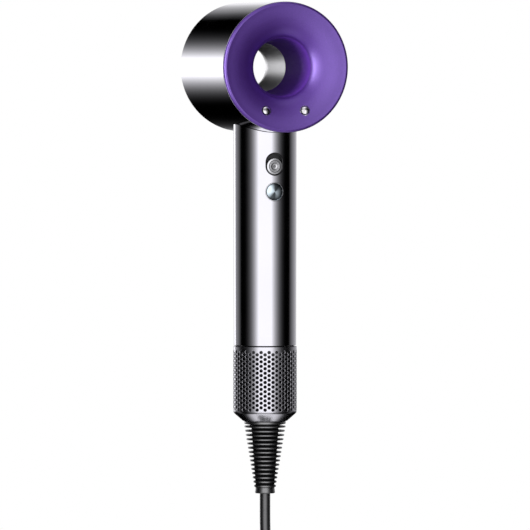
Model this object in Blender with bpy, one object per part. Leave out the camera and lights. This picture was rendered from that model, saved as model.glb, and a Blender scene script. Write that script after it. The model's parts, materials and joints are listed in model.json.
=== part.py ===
"""Handheld hair dryer with a ring-shaped head: a barrel with an open throat on a round handle that holds the
motor, a pull-off filter cage, a ribbed strain relief and a mains lead folded into a tied hank.

Frame: +Z up along the handle, +Y the way the air leaves, origin on the handle's axis at the middle of the grip.
Lengths are written in millimetres and turned into metres by MM.
"""

import math

import bmesh
import bpy
from mathutils import Matrix, Vector

MM = 0.001
GAP = 0.3  # between faces that touch on the real object

# Driving dimensions ------------------------------------------------------------------------------------------
HEAD_Z = 103.0  # height of the head's axis above the middle of the grip
BARREL_R = 39.0
BARREL_WALL = 1.6
BARREL_REAR_Y = -38.6
BARREL_FRONT_Y = 45.6
FACE_Y = 46.0  # the flat front face that attachments sit on

HANDLE_TOP_R = 19.05
HANDLE_FOOT_R = 18.75
HANDLE_BORE_R = 17.3
SEAM_Z = -64.4  # where the handle ends and the filter cage begins
CAGE_R = 19.1
CAGE_BORE_R = 17.85
CAGE_FOOT_Z = -109.7
CAGE_MOUTH_R = 12.9

POWER_Z = 44.95
POWER_POCKET = (9.9, 12.6)  # width and height of the recess that the power slider moves in
POWER_TRAVEL = 2.7
SLIDER_R = 4.65
COOL_Z = 28.4
COOL_R = 5.0

FUNNEL_EDGE = (36.4, -41.2)  # radius and Y where the cowl's lip meets its cone
FUNNEL_FOOT = (22.0, -36.5)  # where the cone meets the roll into the throat
ROLL_R = 5.0
THROAT_END = (14.5, 4.4)
DUCT_WAIST = (12.4, 33.0)
BUTTON_RING_R = 28.5
BUTTON_ANGLE = 25.1  # degrees each side of straight down
BUTTON_R = 2.8

MOTOR_R = 13.6
MOTOR_Z = (-54.0, -18.0)
SHAFT_R = 1.25
BLADES = 13
VANES = 11

CORD_D = 6.5
RELIEF_END_Z = -153.4
RIBS = 15
RIB_FIRST_Z = -113.2
RIB_PITCH = 2.56

HANK_TOP_Z = -203.0
HANK_STRAIGHT = 57.0
HANK_NESTS = 3  # turns side by side
HANK_FOLD_R = 3 * CORD_D  # the tightest fold's centreline
HANK_WAIST = 4.0  # how far the strap pulls each side in
HANK_Y = (-9.9, 22.9)
LEAD_Y = -CORD_D  # the lead passes in front of the hank
TAIL_Y = 3 * CORD_D  # and the tail hangs behind it
PLUG_TOP_Z = -343.0
PLUG_R = 18.2
PIN_SPACING = 19.0

# Materials ---------------------------------------------------------------------------------------------------
FINISHES = {
    "polished_nickel": ((0.30, 0.30, 0.32), 0.16, 1.0),
    "purple_satin": ((0.10, 0.035, 0.29), 0.38, 0.3),
    "satin_silver": ((0.48, 0.48, 0.50), 0.35, 1.0),
    "chrome": ((0.75, 0.75, 0.77), 0.08, 1.0),
    "black_plastic": ((0.02, 0.02, 0.022), 0.45, 0.0),
    "soft_black": ((0.018, 0.018, 0.018), 0.6, 0.0),
    "circuit_green": ((0.02, 0.14, 0.07), 0.5, 0.0),
    "copper": ((0.72, 0.33, 0.18), 0.3, 1.0),
    "mica": ((0.55, 0.50, 0.42), 0.7, 0.0),
    "steel": ((0.55, 0.56, 0.58), 0.25, 1.0),
    "magnet": ((0.22, 0.22, 0.23), 0.4, 1.0),
    "white_resin": ((0.72, 0.72, 0.70), 0.5, 0.0),
}


def finish(name):
    """The material of that name, made the first time that it is asked for."""
    if name in bpy.data.materials:
        return bpy.data.materials[name]
    colour, roughness, metallic = FINISHES[name]
    made = bpy.data.materials.new(name)
    made.use_nodes = True
    shader = made.node_tree.nodes["Principled BSDF"]
    shader.inputs["Base Color"].default_value = (*colour, 1.0)
    shader.inputs["Roughness"].default_value = roughness
    shader.inputs["Metallic"].default_value = metallic
    return made


# Building blocks ---------------------------------------------------------------------------------------------
def clear_scene():
    for obj in list(bpy.data.objects):
        bpy.data.objects.remove(obj)


def empty(name, location=(0, 0, 0), rotation=(0, 0, 0), parent=None):
    obj = bpy.data.objects.new(name, None)
    bpy.context.scene.collection.objects.link(obj)
    obj.location = Vector(location) * MM
    obj.rotation_euler = [math.radians(angle) for angle in rotation]
    obj.parent = parent
    return obj


def add(name, mesh, material, parent=None, location=(0, 0, 0), rotation=(0, 0, 0)):
    """A named object; location is in millimetres and rotation in degrees, both in the parent's frame."""
    obj = bpy.data.objects.new(name, mesh)
    bpy.context.scene.collection.objects.link(obj)
    obj.parent = parent
    obj.location = Vector(location) * MM
    obj.rotation_euler = [math.radians(angle) for angle in rotation]
    if material:
        obj.data.materials.append(finish(material))
    return obj


def mesh_from(bm, name, smooth=True):
    bmesh.ops.recalc_face_normals(bm, faces=bm.faces[:])
    mesh = bpy.data.meshes.new(name)
    bm.to_mesh(mesh)
    bm.free()
    if smooth:
        mesh.shade_smooth()
        mesh.set_sharp_from_angle(angle=math.radians(35))
    return mesh


def turned(name, profile, material, steps=32, **place):
    """Spins a section of (radius, height) points about its local Z. It is a closed ring unless both ends are on the axis."""
    bm = bmesh.new()
    points = [bm.verts.new((radius * MM, 0, height * MM)) for radius, height in profile]
    edges = [bm.edges.new(pair) for pair in zip(points, points[1:])]
    if profile[0][0] or profile[-1][0]:
        edges.append(bm.edges.new((points[-1], points[0])))
    bmesh.ops.spin(
        bm, geom=points + edges, cent=(0, 0, 0), axis=(0, 0, 1), angle=2 * math.pi, steps=steps, use_merge=True
    )
    bmesh.ops.remove_doubles(bm, verts=bm.verts[:], dist=1e-6)
    return add(name, mesh_from(bm, name), material, **place)


def tube(name, inner, outer, low, high, material, steps=32, **place):
    return turned(name, [(inner, low), (outer, low), (outer, high), (inner, high)], material, steps, **place)


def rod(name, radius, low, high, material, steps=16, **place):
    return turned(name, [(0, low), (radius, low), (radius, high), (0, high)], material, steps, **place)


def block(name, low, high, material, **place):
    """A box between two corners, in the parent's frame."""
    bm = bmesh.new()
    bmesh.ops.create_cube(bm, size=1)
    low, high = Vector(low) * MM, Vector(high) * MM
    size = high - low
    bmesh.ops.transform(
        bm, verts=bm.verts[:], matrix=Matrix.Translation((low + high) / 2) @ Matrix.Diagonal((*size, 1))
    )
    return add(name, mesh_from(bm, name, smooth=False), material, **place)


def prism(name, outline, low, high, material, **place):
    """Extrudes an outline of (x, y) points along its local Z."""
    bm = bmesh.new()
    face = bm.faces.new([bm.verts.new((x * MM, y * MM, low * MM)) for x, y in outline])
    raised = bmesh.ops.extrude_face_region(bm, geom=[face])["geom"]
    corners = [item for item in raised if isinstance(item, bmesh.types.BMVert)]
    bmesh.ops.translate(bm, verts=corners, vec=(0, 0, (high - low) * MM))
    return add(name, mesh_from(bm, name), material, **place)


def obround(width, height, points=10):
    """The outline of a slot with round ends, longer along its second axis."""
    radius, reach = width / 2, (height - width) / 2
    outline = []
    for side, start in ((1, 0), (-1, 180)):
        for step in range(points):
            angle = math.radians(start + 180 * step / (points - 1))
            outline.append((radius * math.cos(angle), side * reach + radius * math.sin(angle)))
    return outline


def arc(centre, radius, start, end, count):
    """Points of an arc, from one angle in degrees to another."""
    angles = [math.radians(start + (end - start) * step / (count - 1)) for step in range(count)]
    return [(centre[0] + radius * math.cos(angle), centre[1] + radius * math.sin(angle)) for angle in angles]


def boolean(target, helper, operation):
    """Keeps the helper as a guide that isn't part of the object, and applies it to the target as a modifier."""
    helper.hide_render = True
    helper.display_type = "WIRE"
    modifier = target.modifiers.new(f"{operation.lower()} {helper.name}", "BOOLEAN")
    modifier.operation = operation
    modifier.object = helper
    return target


def cut(target, helper):
    return boolean(target, helper, "DIFFERENCE")


def join(target, helper):
    return boolean(target, helper, "UNION")


# Head --------------------------------------------------------------------------------------------------------
def cone_y(radius):
    """Y of the cowl's cone at that radius."""
    (edge_r, edge_y), (foot_r, foot_y) = FUNNEL_EDGE, FUNNEL_FOOT
    return edge_y + (edge_r - radius) * (foot_y - edge_y) / (edge_r - foot_r)


CONE_ANGLE = math.degrees(math.atan2(FUNNEL_FOOT[1] - FUNNEL_EDGE[1], FUNNEL_EDGE[0] - FUNNEL_FOOT[0]))
THROAT_ANGLE = 6.3  # degrees that the throat narrows towards the front


def roll_points(count=6):
    """The round edge that leads from the cone into the throat."""
    lean = math.radians(90 - CONE_ANGLE)
    centre = (FUNNEL_FOOT[0] + ROLL_R * math.cos(lean), FUNNEL_FOOT[1] + ROLL_R * math.sin(lean))
    return arc(centre, ROLL_R, 270 - CONE_ANGLE, 180 + THROAT_ANGLE, count)


def make_barrel(head):
    inner = BARREL_R - BARREL_WALL
    profile = [
        (inner, BARREL_REAR_Y),
        (BARREL_R, BARREL_REAR_Y),
        (BARREL_R, BARREL_FRONT_Y - 0.6),
        (BARREL_R - 0.6, BARREL_FRONT_Y),
        (inner, BARREL_FRONT_Y),
    ]
    barrel = turned("head_barrel", profile, "polished_nickel", 48, parent=head)
    cut(barrel, rod("neck_hole", 15.5, 40, 90, None, 32))


def make_cowl(head):
    lip_r = 1.8
    lip = arc((BARREL_R - lip_r, BARREL_REAR_Y - GAP - 0.7), lip_r, 0, -90, 5)
    skirt_r = BARREL_R - BARREL_WALL - GAP
    profile = [(BARREL_R, BARREL_REAR_Y - GAP)] + lip + [FUNNEL_EDGE] + roll_points()
    profile += [
        THROAT_END,
        (THROAT_END[0] + 1.4, THROAT_END[1]),
        (19.9, -30.2),
        (21.2, -33.3),
        (24.5, cone_y(24.5) + 1.8),
        (skirt_r - 1.7, cone_y(skirt_r - 1.7) + 1.8),
        (skirt_r - 1.7, -34.0),
        (skirt_r, -34.0),
        (skirt_r, BARREL_REAR_Y - GAP),
    ]
    cowl = turned("rear_cowl", profile, "purple_satin", 40, parent=head)
    for name, side in (("speed", -1), ("heat", 1)):
        seat = button_seat(head, name, side)
        cut(cowl, rod(f"{name}_hole", BUTTON_R + GAP, -3, 4, None, 16, parent=seat))
        make_head_button(name, seat)
        make_button_switch(head, name, side)


def button_seat(head, name, side):
    """An empty on the cowl's cone, whose Z is the way that button is pressed."""
    turn = empty(f"{name}_clock", rotation=(0, 0, 90 - side * BUTTON_ANGLE), parent=head)
    place = (BUTTON_RING_R, 0, cone_y(BUTTON_RING_R))
    return empty(f"{name}_seat", place, (0, CONE_ANGLE, 0), parent=turn)


def make_head_button(name, seat):
    profile = [(0, -0.5), (1.6, -0.35), (2.5, 0.0), (BUTTON_R, 0.35), (BUTTON_R, 2.4), (3.8, 2.4)]
    profile += [(3.8, 3.2), (1.4, 3.2), (1.4, 6.4), (0, 6.4)]
    turned(f"{name}_button", profile, "chrome", 16, parent=seat)


def make_button_switch(head, name, side):
    """A push switch on the control board, under the button's stem."""
    turn = empty(f"{name}_switch_clock", rotation=(0, 0, 90 - side * BUTTON_ANGLE), parent=head)
    centre = 30.9
    switch = block(f"{name}_switch", (centre - 3, -3, -29.6), (centre + 3, 3, -26.6), "black_plastic", parent=turn)
    join(switch, rod(f"{name}_plunger", 1.6, -31.0, -28.0, None, 12, parent=turn, location=(centre, 0, 0)))


def make_inner_duct(head):
    waist_r, waist_y = DUCT_WAIST
    nose_r = 19.0
    flare = []
    for step in range(1, 6):
        angle = math.radians(90 * step / 5)
        flare.append((waist_r + (nose_r - waist_r) * (1 - math.cos(angle)), waist_y + 13 * math.sin(angle)))
    profile = [(THROAT_END[0], THROAT_END[1] + GAP), DUCT_WAIST] + flare
    profile += [(23.4, FACE_Y), (24.0, FACE_Y - 0.6), (24.0, 41.5), (14.6, waist_y), (13.9, 30.0)]
    profile += [(THROAT_END[0] + 1.4, THROAT_END[1] + GAP)]
    turned("inner_duct", profile, "satin_silver", 32, parent=head)


def make_outlet_ring(head):
    """The flat front ring; its inner lip and the inner duct's nose leave the narrow slot that the air leaves by."""
    skirt_r = BARREL_R - BARREL_WALL - GAP
    profile = [(26.4, FACE_Y), (skirt_r - 0.5, FACE_Y), (skirt_r, FACE_Y - 0.5), (skirt_r, 38.0)]
    profile += [(skirt_r - 1.4, 38.0), (skirt_r - 1.4, 44.2), (28.2, 44.2), (28.2, 37.5), (27.2, 37.5), (26.4, 43.5)]
    ring = turned("outlet_ring", profile, "satin_silver", 32, parent=head)
    count = 12
    for number in range(count):
        turn = {"rotation": (0, 0, 360 * (number + 0.5) / count), "parent": head}
        join(ring, block(f"slot_vane_{number + 1}", (24.4, -0.35, 39.0), (27.7, 0.35, 43.0), None, **turn))


def make_magnets(head):
    count = 3
    for number in range(count):
        angle = math.radians(90 + 360 * number / count)
        place = (32.0 * math.cos(angle), 32.0 * math.sin(angle), 0)
        rod(f"attachment_magnet_{number + 1}", 2.7, 41.2, 43.9, "magnet", 14, parent=head, location=place)


def make_heater(head):
    """Eight mica plates on a sleeve, with one coiled resistance wire threaded round through them."""
    centre_y, ring_r, coil_r, wire_r = 19.0, 25.5, 4.2, 0.45
    core = tube("heater_core", 17.2, 18.2, 9, 29, "mica", 24, parent=head)
    count = 8
    for number in range(count):
        turn = {"rotation": (0, 0, 360 * number / count), "parent": head}
        join(core, block(f"mica_plate_{number + 1}", (17.8, -0.4, 10), (32.6, 0.4, 28), None, **turn))
    cut(core, turned("coil_path", arc((ring_r, centre_y), coil_r + 1.0, 0, 324, 10), None, 32, parent=head))
    tube("heater_sleeve", 33.2, 34.0, 8, 30, "mica", 32, parent=head)

    turns, per_turn, start, sweep = 22, 7, math.radians(8), math.radians(344)
    total = turns * per_turn
    line = []
    for step in range(total + 1):
        round_ring = start + sweep * step / total
        round_wire = 2 * math.pi * step / per_turn
        radius = ring_r + coil_r * math.cos(round_wire)
        height = centre_y + coil_r * math.sin(round_wire)
        line.append((radius * math.cos(round_ring), radius * math.sin(round_ring), height))
    add("heater_coil", curve("heater_coil", line, wire_r, 0), "steel", parent=head)


def curve(name, line, radius, sides):
    """A round wire through those points, in millimetres."""
    data = bpy.data.curves.new(name, "CURVE")
    data.dimensions = "3D"
    data.bevel_depth = radius * MM
    data.bevel_resolution = sides
    data.use_fill_caps = True
    spline = data.splines.new("POLY")
    spline.points.add(len(line) - 1)
    for point, place in zip(spline.points, line):
        point.co = (*(Vector(place) * MM), 1)
    return data


def make_head_inside(head):
    tube("air_bulkhead", 19.0, 37.0, -18.6, -17.2, "white_resin", 32, parent=head)
    tube("control_board", 21.0, 35.0, -26.3, -24.9, "circuit_green", 32, parent=head)
    bead = [(0, -3), (0.7, -2.7), (1.1, -1.5), (1.1, 1.5), (0.7, 2.7), (0, 3)]
    turned("thermistor", bead, "white_resin", 10, parent=head, location=(0, -25.5, 33.5), rotation=(0, 90, 0))


# Handle ------------------------------------------------------------------------------------------------------
def make_handle():
    top, foot = 74.0, SEAM_Z + GAP
    profile = [(HANDLE_BORE_R, foot), (HANDLE_FOOT_R - 0.3, foot), (HANDLE_FOOT_R, foot + 0.3)]
    profile += [(HANDLE_TOP_R, top), (HANDLE_BORE_R, top)]
    shell = turned("handle_shell", profile, "polished_nickel", 40)
    saddle = rod("barrel_saddle", BARREL_R + GAP, -60, 60, None, 64, location=(0, 0, HEAD_Z), rotation=(-90, 0, 0))
    cut(shell, saddle)
    width, height = POWER_POCKET
    window = obround(width + 1 + 2 * GAP, height + 1 + 2 * GAP)
    facing_rear = {"rotation": (90, 0, 0)}
    cut(shell, prism("power_window", window, 10, 25, None, location=(0, 0, POWER_Z), **facing_rear))
    cut(shell, rod("cool_window", COOL_R + GAP, 10, 25, None, 24, location=(0, 0, COOL_Z), **facing_rear))
    tube("neck_duct", 13.8, 15.0, 57.5, 68.5, "black_plastic", 28)
    tube("neck_gasket", 15.3, 17.0, 58.5, 61.0, "soft_black", 28)


def make_power_switch():
    """The slider stands in a recess whose floor has a slot for its peg."""
    width, height = POWER_POCKET
    rear = {"rotation": (90, 0, 0), "location": (0, 0, POWER_Z)}
    bezel = prism("power_bezel", obround(width + 1, height + 1), 14.5, 18.2, "black_plastic", **rear)
    cut(bezel, prism("power_pocket", obround(width, height), 15.6, 20, None, **rear))
    cut(bezel, block("peg_slot", (-1.6, -3.5, 10), (1.6, 3.5, 20), None, **rear))

    rest_z = POWER_Z - height / 2 + SLIDER_R + GAP
    joint = empty("power_slide", (0, 0, rest_z), (90, 0, 0))
    cap = [(0, 16.4), (SLIDER_R, 16.4), (SLIDER_R, 18.5), (SLIDER_R - 0.35, 18.8), (2.2, 18.95), (0, 19.0)]
    slider = turned("power_slider", cap, "chrome", 20, parent=joint)
    join(slider, block("slider_peg", (-1.2, -1.2, 11.0), (1.2, 1.2, 17.0), None, parent=joint))

    switch = block("power_switch", (-4, -5, 8.8), (4, 5, 12.2), "black_plastic", **rear)
    cut(switch, block("lever_slot", (-1.6, -3.4, 10.4), (1.6, 3.4, 14), None, **rear))


def make_cool_shot():
    joint = empty("cool_shot_press", (0, 0, COOL_Z), (90, 0, 0))
    profile = [(0, 12.9), (1.6, 12.9), (1.6, 14.8), (6.0, 14.8), (6.0, 15.6), (COOL_R, 15.6)]
    profile += [(COOL_R, 18.6), (COOL_R - 0.4, 18.95), (2.5, 19.15), (0, 19.2)]
    turned("cool_shot_button", profile, "chrome", 20, parent=joint)
    rear = {"rotation": (90, 0, 0), "location": (0, 0, COOL_Z)}
    switch = block("cool_shot_switch", (-3, -3, 8.8), (3, 3, 11.0), "black_plastic", **rear)
    join(switch, rod("cool_plunger", 1.5, 10.0, 11.6, None, 12, **rear))
    block("handle_board", (-7, -8.5, 22), (7, -7.3, 55), "circuit_green")


# Motor -------------------------------------------------------------------------------------------------------
def blade(name, inner, outer, low, high, sweep, thickness, parent=None):
    """A thin blade from one radius to another that leans by sweep degrees from its lower to its upper edge."""
    bm = bmesh.new()
    rings = []
    for height, turn in ((low, 0), (high, math.radians(sweep))):
        across = Vector((-math.sin(turn), math.cos(turn), 0)) * thickness / 2
        along = Vector((math.cos(turn), math.sin(turn), 0))
        up = Vector((0, 0, height))
        corners = [along * inner - across, along * outer - across, along * outer + across, along * inner + across]
        rings.append([bm.verts.new((corner + up) * MM) for corner in corners])
    bm.faces.new(rings[0])
    bm.faces.new(rings[1])
    for index in range(4):
        after = (index + 1) % 4
        bm.faces.new([rings[0][index], rings[0][after], rings[1][after], rings[1][index]])
    bmesh.ops.triangulate(bm, faces=bm.faces[:])
    return add(name, mesh_from(bm, name, smooth=False), None, parent=parent)


def make_rotor():
    joint = empty("rotor_spin")
    hub = [(1.55, -51.5), (2.6, -51.5), (4.4, -50.2), (7.4, -44.6), (7.4, -43.6), (1.55, -43.6)]
    wheel = turned("impeller", hub, "black_plastic", 26, parent=joint)
    for number in range(BLADES):
        turn = empty(f"blade_clock_{number + 1}", rotation=(0, 0, 360 * (number + 0.3) / BLADES), parent=joint)
        join(wheel, blade(f"blade_{number + 1}", 4.2, 12.0, -50.2, -44.4, 24, 0.7, parent=turn))
    rod("rotor_shaft", SHAFT_R, -51.8, -20.6, "steel", 16, parent=joint)
    tube("rotor_magnet", 1.55, 3.6, -37.0, -28.0, "magnet", 20, parent=joint)


def make_motor():
    low, high = MOTOR_Z
    tube("motor_shell", MOTOR_R - 1.2, MOTOR_R, low, high, "steel", 32)
    for name, foot in (("lower", low + 2), ("upper", high - 8)):
        tube(f"motor_mount_{name}", MOTOR_R + GAP, HANDLE_BORE_R - GAP, foot, foot + 6, "soft_black", 32)
    for name, foot in (("lower", -41.5), ("upper", -26.0)):
        tube(f"bearing_{name}", 1.4, 3.4, foot, foot + 2, "steel", 20)

    reach = MOTOR_R - 1.2 - GAP
    diffuser = tube("diffuser", 3.7, 6.8, -42.5, -38.5, "white_resin", 22)
    for number in range(VANES):
        turn = empty(f"vane_clock_{number + 1}", rotation=(0, 0, 360 * number / VANES))
        join(diffuser, blade(f"vane_{number + 1}", 6.2, reach, -42.3, -38.7, -18, 0.7, parent=turn))
    bridge = tube("bearing_bridge", 3.7, 5.5, -26.5, -23.5, "steel", 18)
    for number in range(3):
        turn = {"rotation": (0, 0, 360 * number / 3)}
        join(bridge, block(f"bridge_arm_{number + 1}", (5.0, -1.2, -26.0), (reach, 1.2, -24.0), None, **turn))

    core = tube("stator_core", 10.3, reach, -36.0, -29.0, "magnet", 28)
    for number in range(4):
        turn = {"rotation": (0, 0, 90 * number)}
        join(core, block(f"pole_{number + 1}", (4.2, -1.5, -35.8), (10.8, 1.5, -29.2), None, **turn))
        coil = block(f"stator_coil_{number + 1}", (5.3, -2.8, -37.4), (9.8, 2.8, -27.6), "copper", **turn)
        cut(coil, block(f"coil_window_{number + 1}", (4, -1.8, -36.1), (11, 1.8, -28.9), None, **turn))
    tube("motor_board", 2.0, 11.4, -22.0, -20.8, "circuit_green", 24)


# Intake and filter cage --------------------------------------------------------------------------------------
def make_intake():
    profile = [(13.6, -103.0), (16.2, -103.0), (16.2, -71.3), (14.9, -71.3), (14.9, -56.0), (13.6, -56.0)]
    frame = turned("intake_frame", profile, "black_plastic", 32)
    for number in range(4):
        turn = {"rotation": (0, 0, 45 * number)}
        cut(frame, block(f"air_window_{number + 1}", (-20, -4, -99), (20, 4, -75), None, **turn))
    tube("filter_mesh", 16.5, 17.0, -102.6, -71.6, "steel", 32)
    tube("inlet_seal", 15.2, 17.0, -61.0, -58.5, "soft_black", 28)
    base = [(6.3, -103.3), (16.2, -103.3), (16.2, -104.0), (14.4, -105.2), (6.3, -105.2)]
    base_ring = turned("inlet_base", base, "black_plastic", 32)
    clamp = block("cord_clamp", (-12.4, -3, -99.2), (12.4, 3, -97.2), "black_plastic")
    for number, side in ((1, -1), (2, 1)):
        place = {"location": (side * 10.3, 0, 0)}
        for target in (base_ring, clamp):
            cut(target, rod(f"{target.name}_screw_hole_{number}", 1.3, -110, -90, None, 12, **place))
        screw = [(0, -104.9), (1.0, -104.9), (1.0, -96.9), (2.0, -96.9), (2.0, -95.6), (0, -95.6)]
        turned(f"clamp_screw_{number}", screw, "steel", 12, **place)


def make_cage():
    """The cage turns a little with its lock ring to unlock, then slides down over the strain relief."""
    twist = empty("cage_twist")
    tube("cage_lock_ring", 15.2, 17.5, -70.8, -66.0, "black_plastic", 32, parent=twist)
    top = SEAM_Z - GAP
    profile = [(CAGE_BORE_R, top), (CAGE_BORE_R, -102.8), (17.0, -104.4), (CAGE_MOUTH_R, -108.6)]
    profile += [(CAGE_MOUTH_R, CAGE_FOOT_Z), (CAGE_MOUTH_R + 0.6, CAGE_FOOT_Z), (18.1, -105.3), (18.8, -104.4)]
    profile += [(CAGE_R, -103.2), (CAGE_R, top - 0.3), (CAGE_R - 0.3, top)]
    turned("filter_cage", profile, "polished_nickel", 40, parent=twist)


# Strain relief, lead and plug --------------------------------------------------------------------------------
def make_strain_relief():
    profile = [(0, -99.5), (8.0, -99.5), (8.0, -103.0), (6.0, -103.0), (6.0, -105.5), (8.2, -105.5)]
    profile += [(8.2, -110.1), (12.5, -110.1), (12.5, -111.6)]
    for number in range(RIBS):
        share = number / (RIBS - 1)
        core_r, rib_r = 8.2 - 2.6 * share, 12.4 - 5.8 * share
        middle = RIB_FIRST_Z - RIB_PITCH * number
        profile += [(core_r, middle + 0.55), (rib_r, middle + 0.4), (rib_r, middle - 0.4), (core_r, middle - 0.55)]
    profile += [(5.6, RELIEF_END_Z + 0.6), (6.0, RELIEF_END_Z), (0, RELIEF_END_Z)]
    turned("strain_relief", profile, "soft_black", 14)


def smooth_line(route, per_span=4):
    """A Catmull-Rom curve through the route's points."""
    ends = [2 * Vector(route[0]) - Vector(route[1])] + [Vector(place) for place in route]
    ends.append(2 * Vector(route[-1]) - Vector(route[-2]))
    line = []
    for before, start, end, after in zip(ends, ends[1:], ends[2:], ends[3:]):
        for step in range(per_span):
            share = step / per_span
            rise = (end - before) / 2, (after - start) / 2
            line.append(
                start * (2 * share**3 - 3 * share**2 + 1)
                + rise[0] * (share**3 - 2 * share**2 + share)
                + end * (3 * share**2 - 2 * share**3)
                + rise[1] * (share**3 - share**2)
            )
    line.append(ends[-2])
    return line


LEAD_ROUTE = [
    (0, 0, RELIEF_END_Z - GAP),
    (0, 0, -165.0),
    (0, 0, -174.0),
    (0, -0.95, -181.0),
    (0, -3.25, -188.5),
    (0, -5.6, -196.0),
    (0, LEAD_Y, HANK_TOP_Z + GAP),
]


def hank_outline(radius, per_end=12, per_side=7):
    """The hank seen from the front: two half circles and two sides that the strap pulls in at the middle."""
    outline = []
    for side in (1, -1):
        for step in range(per_end):
            angle = math.pi * step / (per_end - 1)
            outline.append((side * radius * math.cos(angle), side * (HANK_STRAIGHT / 2 + radius * math.sin(angle))))
        for step in range(1, per_side):
            height = HANK_STRAIGHT * (0.5 - step / per_side)
            pull = HANK_WAIST * (1 + math.cos(2 * math.pi * height / HANK_STRAIGHT)) / 2
            outline.append((-side * (radius - pull), side * height))
    return outline


def make_cord():
    add("cord_lead", curve("cord_lead", smooth_line(LEAD_ROUTE), CORD_D / 2, 2), "soft_black")
    outer_r = HANK_FOLD_R + CORD_D * (HANK_NESTS - 0.5) + 0.3
    middle = HANK_TOP_Z - outer_r - HANK_STRAIGHT / 2
    facing_front = {"rotation": (90, 0, 0), "location": (0, 0, middle)}
    prism("cord_hank", hank_outline(outer_r), -HANK_Y[1], -HANK_Y[0], "soft_black", **facing_front)

    strap_inner = outer_r - HANK_WAIST + 1.2
    wall = 1.5
    low, high = HANK_Y[0] - 0.4, HANK_Y[1] + 0.4
    strap = block("cord_strap", (-strap_inner - wall, low - wall, -8), (strap_inner + wall, high + wall, 8),
                  "soft_black", location=(0, 0, middle))
    cut(strap, block("strap_bore", (-strap_inner, low, -9), (strap_inner, high, 9), None, location=(0, 0, middle)))

    hank_foot = HANK_TOP_Z - 2 * outer_r - HANK_STRAIGHT
    tail = [(0, TAIL_Y, hank_foot - GAP - (hank_foot - PLUG_TOP_Z - 2 * GAP) * step / 2) for step in range(3)]
    add("cord_tail", curve("cord_tail", tail, CORD_D / 2, 2), "soft_black")


def make_plug():
    """A round two-pin plug with a tapered cord guard and two grip flats."""
    place = {"location": (0, TAIL_Y, PLUG_TOP_Z)}
    profile = [(0, 0), (4.4, 0), (5.6, -16), (8.5, -20), (12.0, -24), (17.0, -33), (PLUG_R, -35), (PLUG_R, -41.4)]
    profile += [(PLUG_R - 0.6, -42), (0, -42)]
    plug = turned("plug_body", profile, "black_plastic", 32, **place)
    for number, side in ((1, -1), (2, 1)):
        near, far = sorted((side * 13.0, side * 25.0))
        cut(plug, block(f"grip_flat_{number}", (-30, near, -60), (30, far, -18), None, **place))
        pin = [(0, -42.3), (2.4, -42.3), (2.4, -60.2), (1.6, -61.3), (0, -61.3)]
        location = (side * PIN_SPACING / 2, TAIL_Y, PLUG_TOP_Z)
        turned(f"plug_pin_{number}", pin, "steel", 14, location=location)


def main():
    clear_scene()
    head = empty("head_axis", (0, 0, HEAD_Z), (-90, 0, 0))
    make_barrel(head)
    make_cowl(head)
    make_inner_duct(head)
    make_outlet_ring(head)
    make_magnets(head)
    make_heater(head)
    make_head_inside(head)
    make_handle()
    make_power_switch()
    make_cool_shot()
    make_rotor()
    make_motor()
    make_intake()
    make_cage()
    make_strain_relief()
    make_cord()
    make_plug()


main()
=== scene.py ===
"""The looks of the ring-head hair dryer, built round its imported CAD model.

The row frame has its origin on the handle's axis at the middle of the grip, +Z up and +Y the way the air leaves.
Lengths are written in millimetres and turned into metres by MM.
"""

import json
import math

import bmesh
import bpy
from mathutils import Matrix, Vector
from mathutils.bvhtree import BVHTree
from mathutils.interpolate import poly_3d_calc


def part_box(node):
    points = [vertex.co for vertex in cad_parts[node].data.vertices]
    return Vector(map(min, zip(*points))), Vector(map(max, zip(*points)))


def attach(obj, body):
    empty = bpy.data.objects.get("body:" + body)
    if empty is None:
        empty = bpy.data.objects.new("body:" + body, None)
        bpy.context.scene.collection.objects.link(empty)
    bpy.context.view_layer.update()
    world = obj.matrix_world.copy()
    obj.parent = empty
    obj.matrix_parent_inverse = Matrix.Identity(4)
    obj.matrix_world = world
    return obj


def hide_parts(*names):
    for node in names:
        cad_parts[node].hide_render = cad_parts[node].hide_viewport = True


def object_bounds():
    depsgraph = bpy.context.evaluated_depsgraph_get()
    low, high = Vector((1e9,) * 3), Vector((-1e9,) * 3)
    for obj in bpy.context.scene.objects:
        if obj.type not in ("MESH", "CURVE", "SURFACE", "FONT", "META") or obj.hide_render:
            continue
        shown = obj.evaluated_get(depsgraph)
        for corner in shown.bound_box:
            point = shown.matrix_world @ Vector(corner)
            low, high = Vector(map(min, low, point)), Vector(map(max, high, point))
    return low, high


MM = 0.001
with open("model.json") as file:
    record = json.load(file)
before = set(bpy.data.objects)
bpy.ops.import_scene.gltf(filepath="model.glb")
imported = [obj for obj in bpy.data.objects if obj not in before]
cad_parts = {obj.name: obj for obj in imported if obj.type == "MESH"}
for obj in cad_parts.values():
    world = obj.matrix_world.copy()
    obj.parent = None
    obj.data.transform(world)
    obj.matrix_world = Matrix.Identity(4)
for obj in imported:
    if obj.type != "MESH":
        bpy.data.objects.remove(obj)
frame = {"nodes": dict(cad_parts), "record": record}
cad_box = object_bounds()


def side(node, axis, top):
    """One side of a CAD node's box, in millimetres: axis 0, 1 or 2, and its high or low side."""
    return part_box(node)[1 if top else 0][axis] / MM


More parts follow.
